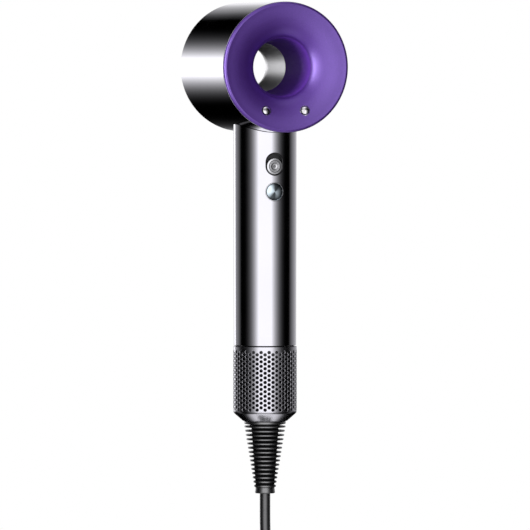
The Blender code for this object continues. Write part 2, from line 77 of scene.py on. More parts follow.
# Sizes, from the frame ---------------------------------------------------------------------------------------
BARREL_R = side("head_barrel", 0, True)
HEAD_Z = (side("head_barrel", 2, True) + side("head_barrel", 2, False)) / 2
BARREL_REAR_Y = side("head_barrel", 1, False)
BARREL_FRONT_Y = side("head_barrel", 1, True)
FACE_Y = side("outlet_ring", 1, True)
LIP_Y = side("rear_cowl", 1, False)
HANDLE_TOP_R = side("handle_shell", 0, True)
HANDLE_FOOT_Z = side("handle_shell", 2, False)
HANDLE_FOOT_R = 18.75
CAGE_R = side("filter_cage", 0, True)
CAGE_TOP_Z = side("filter_cage", 2, True)
CAGE_FOOT_Z = side("filter_cage", 2, False)
POWER_Z = (side("power_bezel", 2, True) + side("power_bezel", 2, False)) / 2
SLIDER_Z = (side("power_slider", 2, True) + side("power_slider", 2, False)) / 2
COOL_Z = (side("cool_shot_button", 2, True) + side("cool_shot_button", 2, False)) / 2
RELIEF_END_Z = side("strain_relief", 2, False)
HANK_TOP_Z = side("cord_hank", 2, True)
HANK_FOOT_Z = side("cord_hank", 2, False)
PLUG_TOP_Z = side("plug_body", 2, True)

CORD_D = 6.5
WALL = 1.6
SLIDER_EXTRA_R = 0.3  # how far the slider's cap reaches past its solid
PLUG_R = 18.2
PIN_SPACING = 19.0
BUTTON_RING_R = 28.5
BUTTON_ANGLE = 25.1
BUTTON_TILT = 18.08  # degrees between the way a head button is pressed and the head's axis
RIBS = 15
RIB_FIRST_Z = -113.2
RIB_PITCH = 2.56

HEAD = Matrix.Translation((0, 0, HEAD_Z * MM)) @ Matrix.Rotation(math.radians(-90), 4, "X")
REAR = Matrix.Rotation(math.radians(90), 4, "X")  # local Z is the way that the controls face


# Mesh building -----------------------------------------------------------------------------------------------
def arc(centre, radius, start, end, count):
    """Points of an arc, from one angle in degrees to another."""
    angles = [math.radians(start + (end - start) * step / (count - 1)) for step in range(count)]
    return [(centre[0] + radius * math.cos(angle), centre[1] + radius * math.sin(angle)) for angle in angles]


def spline(points, per_span=6):
    """A Catmull-Rom curve through points of any dimension."""
    points = [Vector(point) for point in points]
    ends = [2 * points[0] - points[1]] + points + [2 * points[-1] - points[-2]]
    line = []
    for before, start, end, after in zip(ends, ends[1:], ends[2:], ends[3:]):
        for step in range(per_span):
            share = step / per_span
            line.append(
                start * (2 * share**3 - 3 * share**2 + 1)
                + (end - before) / 2 * (share**3 - 2 * share**2 + share)
                + end * (3 * share**2 - 2 * share**3)
                + (after - start) / 2 * (share**3 - share**2)
            )
    return line + [points[-1]]


def rounded(corners, steps=4, guard=0.0):
    """The outline through corners (x, y) or (x, y, radius), with each radius turned into a curve.

    A guard is a point that far outside each curve, which keeps the flats beside it flat when they are shaded."""
    line = []
    for before, corner, after in zip(corners[-1:] + corners[:-1], corners, corners[1:] + corners[:1]):
        here = Vector(corner[:2])
        if len(corner) < 3:
            line.append(here)
            continue
        back = (Vector(before[:2]) - here).normalized()
        on = (Vector(after[:2]) - here).normalized()
        setback = corner[2] / math.tan(back.angle(on) / 2)
        start, end = here + back * setback, here + on * setback
        if guard and (Vector(before[:2]) - here).length > setback + 3 * guard:
            line.append(start + back * guard)
        for step in range(steps + 1):
            share = step / steps
            line.append(start.lerp(here, share).lerp(here.lerp(end, share), share))
        if guard and (Vector(after[:2]) - here).length > setback + 3 * guard:
            line.append(end + on * guard)
    return line


def mesh_from(bm, name, angle=30):
    bmesh.ops.recalc_face_normals(bm, faces=bm.faces[:])
    mesh = bpy.data.meshes.new(name)
    bm.to_mesh(mesh)
    bm.free()
    mesh.shade_smooth()
    mesh.set_sharp_from_angle(angle=math.radians(angle))
    return mesh


def bridge(bm, first, second):
    """Faces between two rings, either of which may be a single point."""
    count = max(len(first), len(second))
    for index in range(count):
        after = (index + 1) % count
        corners = [first[index % len(first)], first[after % len(first)]]
        corners += [second[after % len(second)], second[index % len(second)]]
        unique = list(dict.fromkeys(corners))
        if len(unique) > 2:
            bm.faces.new(unique)


def loft(name, rings, closed=False, angle=30):
    """A skin over rings of (x, y, z) points in millimetres; a ring of one point closes an end."""
    bm = bmesh.new()
    rows = [[bm.verts.new(Vector(point) * MM) for point in ring] for ring in rings]
    for first, second in zip(rows, rows[1:] + rows[:1] if closed else rows[1:]):
        bridge(bm, first, second)
    if not closed:
        for row in (rows[0], rows[-1]):
            if len(row) > 2:
                bm.faces.new(row)
    return mesh_from(bm, name, angle)


def circle(radius, height, steps):
    if radius < 1e-6:
        return [(0, 0, height)]
    turns = [2 * math.pi * step / steps for step in range(steps)]
    return [(radius * math.cos(turn), radius * math.sin(turn), height) for turn in turns]


def lathe(name, corners, steps=128, angle=30, curve_steps=4):
    """A body of revolution about its local Z, from corners (radius, height) or (radius, height, rounding)."""
    profile = rounded(corners, curve_steps, guard=0.15)
    on_axis = profile[0][0] < 1e-6 and profile[-1][0] < 1e-6
    return loft(name, [circle(*point, steps) for point in profile], closed=not on_axis, angle=angle)


def box(name, low, high):
    bm = bmesh.new()
    bmesh.ops.create_cube(bm, size=1)
    low, high = Vector(low) * MM, Vector(high) * MM
    fit = Matrix.Translation((low + high) / 2) @ Matrix.Diagonal((*(high - low), 1))
    bmesh.ops.transform(bm, verts=bm.verts[:], matrix=fit)
    return mesh_from(bm, name)


def prism(name, outline, low, high, bevel=0.0):
    """An outline of (x, y) points extruded along Z, with its two edges rounded by bevel."""
    middle = sum((Vector(point) for point in outline), Vector((0, 0))) / len(outline)

    def ring(height, inset):
        points = []
        for point in outline:
            away = Vector(point) - middle
            points.append((*(middle + away * (1 - inset / max(away.length, 1e-6))), height))
        return points

    edge = [(0, 0)]
    if bevel:
        edge = [(bevel * (1 - math.sin(turn)), bevel * (1 - math.cos(turn))) for turn in (0, 0.52, 1.05, 1.57)]
    foot = [ring(low + rise, inset) for inset, rise in edge]
    head = [ring(high - rise, inset) for inset, rise in reversed(edge)]
    return loft(name, foot + head)


def obround(width, height, points=20):
    """The outline of a slot with round ends, longer along its second axis."""
    radius, reach = width / 2, (height - width) / 2
    return [p for s, start in ((1, 0), (-1, 180)) for p in arc((0, s * reach), radius, start, start + 180, points)]


def carved(mesh, *cutters):
    """The mesh with each cutter (mesh, matrix) cut out of it. The faces it had keep their smooth shading."""
    mesh_points = [vertex.co.copy() for vertex in mesh.vertices]
    tree = BVHTree.FromPolygons(mesh_points, [list(face.vertices) for face in mesh.polygons])
    before = [normal.vector.copy() for normal in mesh.corner_normals]
    target = bpy.data.objects.new("carving", mesh)
    helpers = [target]
    for cutter, matrix in cutters:
        helper = bpy.data.objects.new("cutter", cutter)
        helper.matrix_world = matrix
        helpers.append(helper)
        modifier = target.modifiers.new("cut", "BOOLEAN")
        modifier.object, modifier.operation = helper, "DIFFERENCE"
    for helper in helpers:
        bpy.context.scene.collection.objects.link(helper)
    bpy.context.view_layer.update()
    graph = bpy.context.evaluated_depsgraph_get()
    result = bpy.data.meshes.new_from_object(target.evaluated_get(graph), depsgraph=graph)
    for helper in helpers:
        bpy.data.objects.remove(helper)
    result.set_sharp_from_angle(angle=math.radians(30))
    normals = [normal.vector.copy() for normal in result.corner_normals]
    for face in result.polygons:
        _, flat, index, distance = tree.find_nearest(face.center)
        if distance > 0.02 * MM or flat.dot(face.normal) < 0.98:
            continue
        old = mesh.polygons[index]
        ring = [mesh_points[vertex] for vertex in old.vertices]
        for corner in face.loop_indices:
            place = result.vertices[result.loops[corner].vertex_index].co
            weights = poly_3d_calc(ring, place)
            smooth = sum((before[k] * w for k, w in zip(old.loop_indices, weights)), Vector())
            if smooth.length > 0.1:
                normals[corner] = smooth.normalized()
    result.normals_split_custom_set(normals)
    result.name = mesh.name
    return result


# Materials ---------------------------------------------------------------------------------------------------
LOOKS = {}  # each material by the name that it is given here: Blender numbers a name that is taken
CHROME = (0.80, 0.80, 0.82)


class Nodes:
    """A material's nodes, made one line each."""

    def __init__(self, name):
        self.material = LOOKS[name] = bpy.data.materials.new(name)
        self.material.use_nodes = True
        self.tree = self.material.node_tree
        self.shader = self.tree.nodes["Principled BSDF"]
        self.place = self.add("ShaderNodeTexCoord").outputs["Object"]

    def add(self, kind, **values):
        node = self.tree.nodes.new(kind)
        for key, value in values.items():
            setattr(node, key, value)
        return node

    def link(self, source, target):
        self.tree.links.new(source, target)

    def set(self, **values):
        for key, value in values.items():
            self.shader.inputs[key.replace("_", " ")].default_value = value

    def math(self, operation, *inputs):
        node = self.add("ShaderNodeMath", operation=operation)
        for socket, value in zip(node.inputs, inputs):
            if isinstance(value, float):
                socket.default_value = value
            else:
                self.link(value, socket)
        return node.outputs[0]

    def noise(self, scale, detail=3, stretch=(1, 1, 1)):
        mapping = self.add("ShaderNodeMapping")
        mapping.inputs["Scale"].default_value = stretch
        self.link(self.place, mapping.inputs["Vector"])
        noise = self.add("ShaderNodeTexNoise")
        noise.inputs["Scale"].default_value = scale
        noise.inputs["Detail"].default_value = detail
        self.link(mapping.outputs["Vector"], noise.inputs["Vector"])
        return noise.outputs["Fac"]

    def remap(self, source, low, high, from_low=0.3, from_high=0.7):
        node = self.add("ShaderNodeMapRange")
        for key, value in (("From Min", from_low), ("From Max", from_high), ("To Min", low), ("To Max", high)):
            node.inputs[key].default_value = value
        self.link(source, node.inputs["Value"])
        return node.outputs["Result"]

    def rough(self, source, low, high, from_low=0.3, from_high=0.7):
        self.link(self.remap(source, low, high, from_low, from_high), self.shader.inputs["Roughness"])

    def colour(self, source, first, second, from_low=0.3, from_high=0.7):
        mix = self.add("ShaderNodeMix", data_type="RGBA")
        mix.inputs["A"].default_value = (*first, 1)
        mix.inputs["B"].default_value = (*second, 1)
        self.link(self.remap(source, 0, 1, from_low, from_high), mix.inputs["Factor"])
        self.link(mix.outputs["Result"], self.shader.inputs["Base Color"])

    def bump(self, source, height, strength=1.0):
        node = self.add("ShaderNodeBump")
        node.inputs["Distance"].default_value = height * MM
        node.inputs["Strength"].default_value = strength
        self.link(source, node.inputs["Height"])
        if self.shader.inputs["Normal"].links:
            self.link(self.shader.inputs["Normal"].links[0].from_socket, node.inputs["Normal"])
        self.link(node.outputs["Normal"], self.shader.inputs["Normal"])


def plain(name, tint, rough, bump=None, **settings):
    """A material of noises. Each of tint, rough and bump is its noise's settings, then its values."""
    look = Nodes(name)
    look.set(**settings)
    grain, *colours = tint
    look.colour(look.noise(*grain), *colours)
    grain, *limits = rough
    look.rough(look.noise(*grain), *limits)
    if bump:
        grain, *depth = bump
        look.bump(look.noise(*grain), *depth)


def polished_nickel(name, *rough):
    tint = ((30,), (0.60, 0.595, 0.635), (0.62, 0.615, 0.65))
    return plain(name, tint, ((55, 5), *rough), ((700, 2, (1, 1, 0.12)), 0.0015, 0.4), Metallic=1.0)


def black_plastic(name, *rough):
    tint = ((300,), (0.011, 0.011, 0.012), (0.018, 0.018, 0.020))
    return plain(name, tint, ((400, 4), *rough), ((1400, 3), 0.012, 0.5))


def purple_satin():
    look = Nodes("purple_satin")
    look.set(Metallic=0.5, Coat_Weight=1.0, Coat_Roughness=0.44, Coat_IOR=1.5)
    look.colour(look.noise(2600, 2), (0.058, 0.0095, 0.205), (0.086, 0.0185, 0.28), 0.35, 0.65)
    look.rough(look.noise(60, 4), 0.40, 0.48)
    look.bump(look.noise(3200, 2), 0.004, 0.35)


def purple_throat_painted_shade():
    """A copy of the cowl's paint for its throat, rougher and without shine, which paints shade into the throat; the
    real paint there is the same.
    """
    look = Nodes("purple_throat_painted_shade")
    look.set(Metallic=0.0, Specular_IOR_Level=0.15)
    look.colour(look.noise(2600, 2), (0.068, 0.018, 0.215), (0.098, 0.031, 0.285), 0.35, 0.65)
    look.rough(look.noise(60, 4), 0.60, 0.70)
    look.bump(look.noise(3200, 2), 0.006, 0.35)


def spun_with_painted_reflection(name, tint, rings=False, shade=0.10):
    """Bright metal turned on a lathe, whose colour holds a painted reflection: light at the sides and dark wedges
    above and below, and with rings, painted bright rings as well.
    """
    look = Nodes(name)
    look.set(Metallic=1.0, Anisotropic=0.7)
    split = look.add("ShaderNodeSeparateXYZ")
    look.link(look.add("ShaderNodeTexCoord").outputs["Generated"], split.inputs[0])
    across = look.math("SUBTRACT", split.outputs["X"], 0.5)
    along = look.math("SUBTRACT", split.outputs["Y"], 0.5)
    turn = look.math("ARCTAN2", along, across)
    # painted reflection: the colour is light at the sides and dark in wedges above and below the middle
    painted_reflection = look.math("POWER", look.math("ABSOLUTE", look.math("SINE", look.math("ADD", turn, 0.35))), 2.6)
    if rings:
        # painted bright rings of reflection round the middle
        span = look.math("SQRT", look.math("ADD", look.math("POWER", across, 2.0), look.math("POWER", along, 2.0)))
        ring = look.math("COSINE", look.math("MULTIPLY", look.math("SUBTRACT", span, 0.20), math.pi / 0.15))
        ring = look.math("POWER", look.math("ABSOLUTE", ring), 5.0)
        painted_reflection = look.math("MAXIMUM", look.math("MULTIPLY", painted_reflection, 0.4), ring)
    look.colour(painted_reflection, tint, [part * shade for part in tint], 0.1, 0.9)
    look.rough(look.noise(400, 4), 0.16, 0.24)


def mesh_screen():
    """The fine woven screen behind the cage's holes; its near-black colour is painted shade inside the cage."""
    look = Nodes("mesh_screen")
    look.set(Metallic=0.6)
    weave = look.add("ShaderNodeTexChecker")
    weave.inputs["Scale"].default_value = 2500
    look.link(look.place, weave.inputs["Vector"])
    look.colour(weave.outputs["Fac"], (0.010, 0.010, 0.012), (0.035, 0.035, 0.038), 0, 1)
    look.rough(look.noise(900), 0.55, 0.7)
    look.bump(weave.outputs["Fac"], 0.05)


def strap_weave():
    look = Nodes("strap_weave")
    look.set(Sheen_Weight=0.25)
    wave = look.add("ShaderNodeTexWave", wave_type="BANDS", bands_direction="DIAGONAL")
    wave.inputs["Scale"].default_value = 450
    look.link(look.place, wave.inputs["Vector"])
    look.colour(look.noise(700, 4), (0.012, 0.012, 0.013), (0.035, 0.035, 0.037))
    look.rough(look.noise(300), 0.75, 0.95)
    look.bump(wave.outputs["Fac"], 0.15, 0.7)
    look.bump(look.noise(2600, 4), 0.12, 0.8)


def circuit_green():
    look = Nodes("circuit_green")
    cells = look.add("ShaderNodeTexBrick")
    cells.inputs["Scale"].default_value = 160
    cells.inputs["Mortar Size"].default_value = 0.03
    look.link(look.place, cells.inputs["Vector"])
    look.colour(cells.outputs["Fac"], (0.012, 0.10, 0.045), (0.35, 0.30, 0.10), 0, 1)
    look.rough(look.noise(200), 0.3, 0.45)
    look.bump(cells.outputs["Fac"], 0.03)


def copper():
    look = Nodes("copper")
    look.set(Metallic=1.0)
    wave = look.add("ShaderNodeTexWave", bands_direction="Z")
    wave.inputs["Scale"].default_value = 900
    look.link(look.place, wave.inputs["Vector"])
    look.colour(wave.outputs["Fac"], (0.42, 0.13, 0.05), (0.80, 0.36, 0.19), 0, 1)
    look.rough(look.noise(300), 0.22, 0.34)
    look.bump(wave.outputs["Fac"], 0.1)


polished_nickel("polished_nickel", 0.10, 0.15)
polished_nickel("barrel_nickel", 0.045, 0.075)
polished_nickel("cage_nickel", 0.20, 0.27)
purple_satin()
purple_throat_painted_shade()
# the colours of these three metals are painted reflections
spun_with_painted_reflection("spun_chrome", (0.66, 0.66, 0.68), rings=True)
spun_with_painted_reflection("spun_button", (0.95, 0.93, 0.94), shade=0.55)
spun_with_painted_reflection("spun_blue", (0.62, 0.72, 0.78))
mesh_screen()
strap_weave()
circuit_green()
copper()
black_plastic("black_plastic", 0.32, 0.45)
black_plastic("recess_black", 0.15, 0.25)
plain(
    "chrome",
    ((120,), CHROME, [part * 0.94 for part in CHROME]),
    ((400, 4), 0.05, 0.12),
    Metallic=1.0,
)
plain(
    "satin_silver",
    ((40,), (0.50, 0.50, 0.51), (0.56, 0.56, 0.57)),
    ((900, 3), 0.36, 0.46),
    ((1500, 3), 0.004, 0.4),
    Metallic=1.0,
)
plain(
    "soft_black",
    ((220, 4), (0.0085, 0.0085, 0.009), (0.016, 0.016, 0.017)),
    ((500, 4), 0.36, 0.48),
    ((2200, 3), 0.010, 0.4),
    Coat_Weight=1.0,
    Coat_IOR=2.5,
    Coat_Roughness=0.27,
)
plain(  # painted shade: a darker, matt copy of the rubber between the boot's ribs, where the light doesn't reach
    "boot_groove",
    ((220, 4), (0.004, 0.004, 0.0045), (0.009, 0.009, 0.0095)),
    ((500, 4), 0.6, 0.75),
    Specular_IOR_Level=0.1,
)
plain(
    "cord_sheath",
    ((200, 3), (0.010, 0.010, 0.011), (0.017, 0.017, 0.018)),
    ((260, 4), 0.30, 0.42),
    ((900, 3), 0.012, 0.4),
    Coat_Weight=1.0,
    Coat_IOR=1.9,
    Coat_Roughness=0.30,
)
plain("mica", ((260, 6), (0.36, 0.31, 0.23), (0.62, 0.57, 0.47)), ((500, 4), 0.45, 0.75), ((900, 5), 0.05))
plain(
    "steel",
    ((90, 4), (0.50, 0.51, 0.53), (0.60, 0.61, 0.63)),
    ((700, 3, (1, 1, 0.1)), 0.18, 0.34),
    ((1500, 2, (1, 1, 0.05)), 0.006, 0.5),
    Metallic=1.0,
)
plain(
    "magnet",
    ((200, 5), (0.15, 0.15, 0.16), (0.26, 0.26, 0.27)),
    ((600, 4), 0.38, 0.55),
    ((1200, 4), 0.02),
    Metallic=1.0,
)
plain(
    "white_resin",
    ((150, 3), (0.62, 0.62, 0.59), (0.72, 0.72, 0.69)),
    ((400, 4), 0.4, 0.55),
    ((1200, 3), 0.015),
)


# Pieces ------------------------------------------------------------------------------------------------------
def piece(name, data, look, body="dryer", nodes=(), matrix=None):
    """A piece of the object that rides on a CAD body and may stand for some of its nodes."""
    obj = bpy.data.objects.new(name, data)
    bpy.context.scene.collection.objects.link(obj)
    if matrix is not None:
        obj.matrix_world = matrix
    obj.data.materials.clear()
    obj.data.materials.append(LOOKS[look])
    bpy.context.view_layer.update()
    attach(obj, body)
    if nodes:
        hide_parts(*nodes)
    return obj


def make_barrel():
    inner = BARREL_R - WALL
    neck = 17
    corners = [(inner, BARREL_REAR_Y), (BARREL_R, BARREL_REAR_Y, 0.25), (BARREL_R, -neck), (BARREL_R, neck)]
    corners += [(BARREL_R, BARREL_FRONT_Y, 0.8), (inner, BARREL_FRONT_Y, 0.3), (inner, neck), (inner, -neck)]
    hole = lathe("neck_hole", [(0, 0), (15.5, 0), (15.5, 45), (0, 45)], 64)
    mesh = carved(lathe("barrel", corners, 256), (hole, Matrix.Rotation(math.radians(-90), 4, "X")))
    piece("head_barrel_shell", mesh, "barrel_nickel", nodes=["head_barrel"], matrix=HEAD)


FUNNEL = [  # radius and Y of the cowl's dished face, from its lip into the throat
    (37.2, -41.35),
    (35.6, -41.05),
    (32.0, -40.45),
    (28.5, -39.6),
    (24.5, -38.1),
    (21.3, -36.1),
    (19.0, -33.9),
    (17.6, -31.2),
    (16.9, -28.0),
    (16.3, -20.0),
    (15.4, -8.0),
    (14.5, 4.4),
]


def button_matrix(number):
    """The seat of a head button: local Z is the way that it is pressed."""
    turn = Matrix.Rotation(math.radians(90 - number * BUTTON_ANGLE), 4, "Z")
    seat = Matrix.Translation((BUTTON_RING_R * MM, 0, -39.6 * MM))
    return HEAD @ turn @ seat @ Matrix.Rotation(math.radians(BUTTON_TILT), 4, "Y")


def make_cowl():
    lip = arc((BARREL_R - 1.8, LIP_Y + 1.8), 1.8, 0, -84, 10)
    back = [(15.9, 4.4), (18.0, -20.0), (19.4, -30.4), (24.5, -36.0), (35.0, -38.4), (35.6, -34.2), (37.1, -34.2)]
    back += [(37.1, BARREL_REAR_Y - 0.3)]
    outline = [(BARREL_R - 0.25, BARREL_REAR_Y - 0.3), (BARREL_R, BARREL_REAR_Y - 0.55)] + lip
    outline += [tuple(point) for point in spline(FUNNEL, 7)] + back
    mesh = lathe("cowl", outline, 256)
    hole = lathe("button_hole", [(0, -3), (3.05, -3), (3.05, 6), (0, 6)], 48)
    seats = [(hole, HEAD.inverted() @ button_matrix(number)) for number in (-1, 1)]
    mesh = carved(mesh, *seats)
    cowl = piece("purple_cowl", mesh, "purple_satin", nodes=["rear_cowl"], matrix=HEAD)
    # the throat's faces take the copy of the paint that paints its shade
    cowl.data.materials.append(LOOKS["purple_throat_painted_shade"])
    for face in cowl.data.polygons:
        if face.center.xy.length < 18.2 * MM and face.center.z > -32.4 * MM:
            face.material_index = 1
    return cowl


def make_head_buttons():
    """A shallow domed button of bright spun metal, in its hole on each side."""
    dome = [(0, -0.75), (0.9, -0.68), (1.8, -0.42), (2.3, -0.1, 0.15), (2.5, 0.35, 0.1), (2.5, 1.6)]
    dome += [(3.8, 1.9), (3.8, 2.6), (1.4, 2.6), (1.4, 7.4), (0, 7.4)]
    for number, name in ((-1, "speed"), (1, "heat")):
        seat = button_matrix(number)
        button = f"{name}_button"
        piece(f"{name}_button_cap", lathe(button, dome, 64), "spun_button", button, [button], seat)


def make_inner_duct():
    waist_r, waist_y, nose_r = 12.4, 33.0, 19.0
    inside = spline([(14.5, 4.7), (14.1, 12.0), (13.3, 23.0), (waist_r, waist_y)], 5)
    flare = [(waist_r + (nose_r - waist_r) * (1 - math.cos(t)), waist_y + (FACE_Y - waist_y) * math.sin(t))
             for t in (math.radians(90 * step / 14) for step in range(1, 15))]
    outline = [tuple(point) for point in inside] + flare
    outline += [(23.4, FACE_Y, 0.3), (24.0, FACE_Y - 0.9, 0.4), (24.0, 41.5, 0.3), (14.6, waist_y), (13.9, 30.0)]
    outline += [(15.9, 4.7)]
    mesh = lathe("duct", outline, 192)
    return piece("duct_tube", mesh, "satin_silver", nodes=["inner_duct"], matrix=HEAD)


def make_outlet():
    skirt = BARREL_R - WALL - 0.3
    ring = [(26.4, FACE_Y, 0.35), (skirt - 0.1, FACE_Y, 0.5), (skirt, 38.0)]
    ring += [(skirt - 1.4, 38.0), (skirt - 1.4, 44.2)]
    ring += [(28.2, 44.2), (28.2, 37.5), (27.2, 37.5, 0.3)]
    mesh = lathe("front_ring", ring, 192)
    piece("front_ring", mesh, "satin_silver", nodes=["outlet_ring"], matrix=HEAD)
    vane = box("vane", (23.8, -0.35, 39.0), (27.4, 0.35, 43.4))
    turns = [Matrix.Rotation(2 * math.pi * (number + 0.5) / 12, 4, "Z") for number in range(12)]
    for number, turn in enumerate(turns):
        piece(f"slot_vane_{number + 1}", vane.copy(), "black_plastic", matrix=HEAD @ turn)


def make_handle():
    bore = 17.3
    rings = [22.0, 36.0, 55.0, 60.0, 63.5]

    def wall_r(height):
        return HANDLE_FOOT_R + (HANDLE_TOP_R - HANDLE_FOOT_R) * (height - HANDLE_FOOT_Z) / (74 - HANDLE_FOOT_Z)

    corners = [(bore, HANDLE_FOOT_Z), (HANDLE_FOOT_R, HANDLE_FOOT_Z, 0.2)]
    corners += [(wall_r(height), height) for height in rings] + [(wall_r(74), 74), (bore, 74)]
    corners += [(bore, height) for height in reversed(rings)]
    saddle = lathe("saddle", [(0, -60), (BARREL_R + 0.25, -60), (BARREL_R + 0.25, 60), (0, 60)], 256)
    window = prism("power_window", obround(11.3, 14.0, 24), 10, 25)
    round_window = lathe("cool_window", [(0, 10), (5.75, 10), (5.75, 25), (0, 25)], 64)
    mesh = carved(
        lathe("handle", corners, 192),
        (saddle, HEAD),
        (window, Matrix.Translation((0, 0, POWER_Z * MM)) @ REAR),
        (round_window, Matrix.Translation((0, 0, COOL_Z * MM)) @ REAR),
    )
    piece("handle_tube", mesh, "polished_nickel", nodes=["handle_shell"])


def wrapped(mesh, height):
    """Bends the front of a control to follow the round handle: height is what lies flush with the wall."""
    for vertex in mesh.vertices:
        x = vertex.co.x
        drop = HANDLE_TOP_R * MM - math.sqrt(max((HANDLE_TOP_R * MM) ** 2 - x**2, 0))
        vertex.co.z -= drop * min(1, max(0, (vertex.co.z / MM - 15.0) / (height - 15.0)))
    mesh.update()
    return mesh


def subdivided_disc(outline, height, levels=6):
    """Rings of an outline from its middle out, so that a flat face can be bent."""
    return [[(x * share, y * share, height) for x, y in outline] for share in
            [(step + 1) / (levels + 1) for step in range(levels)]]


def make_power_switch():
    place = Matrix.Translation((0, 0, POWER_Z * MM)) @ REAR
    outer, inner = obround(10.9, 13.6, 28), obround(9.9, 12.6, 28)
    lip = obround(10.4, 13.1, 28)
    rings = [
        [(x, y, 14.5) for x, y in outer],
        [(x, y, 18.95) for x, y in outer],
        [(x, y, 19.1) for x, y in lip],
        [(x, y, 18.9) for x, y in inner],
        [(x, y, 15.6) for x, y in inner],
        *reversed(subdivided_disc(inner, 15.6)),
    ]
    rings.append([(0, 0, 15.6)])
    bezel = wrapped(loft("bezel", [[(0, 0, 14.5)]] + rings), 19.0)
    piece("power_recess", bezel, "recess_black", nodes=["power_bezel"], matrix=place)

    r = (side("power_slider", 0, True) - side("power_slider", 0, False)) / 2 + SLIDER_EXTRA_R
    cap = [(0, 11.0), (1.2, 11.0), (1.2, 16.4), (r, 16.4), (r, 18.55, 0.25)]
    cap += [(3.55, 18.75, 0.15), (3.35, 18.5, 0.1), (2.75, 18.5, 0.1), (2.55, 18.75, 0.15), (1.3, 18.6), (0, 18.5)]
    slider = lathe("slider", cap, 96)
    place = Matrix.Translation((0, 0, SLIDER_Z * MM)) @ REAR
    piece("power_slider_cap", slider, "spun_chrome", "power_slider", ["power_slider"], place)


def make_cool_shot():
    place = Matrix.Translation((0, 0, COOL_Z * MM)) @ REAR
    ring = lathe("cool_ring", [(5.3, 15.9), (5.6, 15.9), (5.6, 18.95, 0.1), (5.3, 18.95, 0.1)], 96)
    piece("cool_shot_ring", wrapped(ring, 18.95), "chrome", matrix=place)
    cap = [(0, 12.9), (1.6, 12.9), (1.6, 14.8), (5.9, 14.8), (5.9, 15.6), (5.0, 15.6), (5.0, 18.55, 0.3)]
    cap += [(3.9, 18.92), (2.6, 19.12), (1.3, 19.22), (0, 19.25)]
    mesh = lathe("cool_button", cap, 96)
    piece("cool_shot_cap", mesh, "spun_blue", "cool_shot_button", ["cool_shot_button"], place)


# The filter cage: a wall with rows of round holes ------------------------------------------------------------
CAGE_COLUMNS = 50
CAGE_ROWS = 13
HOLE_PITCH = 2.76
HOLE_R = 0.98
HOLES_TOP_Z = -67.9  # the middle of the first hole
CELL = 4  # grid squares along each side of a hole's cell


def make_cage():
    around = CAGE_COLUMNS * CELL
    step_z = HOLE_PITCH / CELL
    top = HOLES_TOP_Z + HOLE_PITCH / 2
    rows = (CAGE_ROWS * 2 + 1) * CELL // 2
    grid_z = [top - step_z * row for row in range(rows + 1)]
    below = [(CAGE_R, -103.6), (CAGE_R - 0.05, -104.1), (CAGE_R - 0.3, -104.75), (CAGE_R - 0.75, -105.35)]
    foot_r = 13.4
    below += [(foot_r + 0.25, CAGE_FOOT_Z + 0.25), (foot_r - 0.1, CAGE_FOOT_Z), (12.9, CAGE_FOOT_Z)]
    profile = [(CAGE_R - 0.25, CAGE_TOP_Z), (CAGE_R - 0.05, CAGE_TOP_Z - 0.1), (CAGE_R, CAGE_TOP_Z - 0.3)]
    profile += [(CAGE_R, height) for height in grid_z] + below
    first = 3  # rings above the grid

    def on_wall(column, height, radius=CAGE_R):
        turn = 2 * math.pi * column / around
        return Vector((radius * math.sin(turn), -radius * math.cos(turn), height)) * MM

    bm = bmesh.new()
    grid = [[bm.verts.new(on_wall(column, z, r)) for column in range(around)] for r, z in profile]
    taken = set()
    thickness = 1.25
    lining = [[bm.verts.new(on_wall(column, z, CAGE_R - thickness)) for column in range(around)] for z in grid_z]
    for column in range(CAGE_COLUMNS):
        for number in range(CAGE_ROWS):
            left = column * CELL
            row = number * CELL + (CELL // 2 if column % 2 else 0)
            taken |= {(left + i, row + j) for i in range(CELL) for j in range(CELL)}
            edge = [(left + i, row) for i in range(CELL)] + [(left + CELL, row + j) for j in range(CELL)]
            edge += [(left + CELL - i, row + CELL) for i in range(CELL)]
            edge += [(left, row + CELL - j) for j in range(CELL)]
            middle = (left + CELL / 2, grid_z[0] - step_z * (row + CELL / 2))
            cell_edge = [grid[first + j][i % around] for i, j in edge]
            rings = [cell_edge]
            for radius, depth in ((HOLE_R + 0.1, 0), (HOLE_R, 0.1), (HOLE_R, thickness)):
                ring = []
                for i, j in edge:
                    angle = math.atan2((middle[1] - grid_z[j]), (i - middle[0]) * step_z)
                    across = radius * math.cos(angle) * around / (2 * math.pi * CAGE_R)
                    height = middle[1] - radius * math.sin(angle)
                    ring.append(bm.verts.new(on_wall(middle[0] + across, height, CAGE_R - depth)))
                rings.append(ring)
            rings.append([lining[j][i % around] for i, j in edge])
            for outer, inner in zip(rings, rings[1:]):
                bridge(bm, outer, inner)
    for row, (upper, lower) in enumerate(zip(grid, grid[1:])):
        for column in range(around):
            if (column, row - first) not in taken:
                after = (column + 1) % around
                bm.faces.new([upper[column], upper[after], lower[after], lower[column]])
    for row, (upper, lower) in enumerate(zip(lining, lining[1:])):
        for column in range(around):
            if (column, row) not in taken:
                after = (column + 1) % around
                bm.faces.new([upper[after], upper[column], lower[column], lower[after]])
    loose = [vertex for vertex in bm.verts if not vertex.link_faces]
    bmesh.ops.delete(bm, geom=loose, context="VERTS")
    upper = grid[-1]
    for radius, height in ((12.9, CAGE_FOOT_Z + 1.1), (17.0, -104.6), (CAGE_R - thickness, -103.4)):
        lower = [bm.verts.new(on_wall(column, height, radius)) for column in range(around)]
        bridge(bm, upper, lower)
        upper = lower
    bridge(bm, upper, lining[-1])
    rim = [bm.verts.new(on_wall(column, CAGE_TOP_Z, CAGE_R - thickness)) for column in range(around)]
    bridge(bm, lining[0], rim)
    bridge(bm, rim, grid[0])
    bmesh.ops.recalc_face_normals(bm, faces=bm.faces)
    for face in bm.faces:
        face.smooth = True
    mesh = mesh_from(bm, "cage", 35)
    piece("cage_shell", mesh, "cage_nickel", "cage", ["filter_cage"])


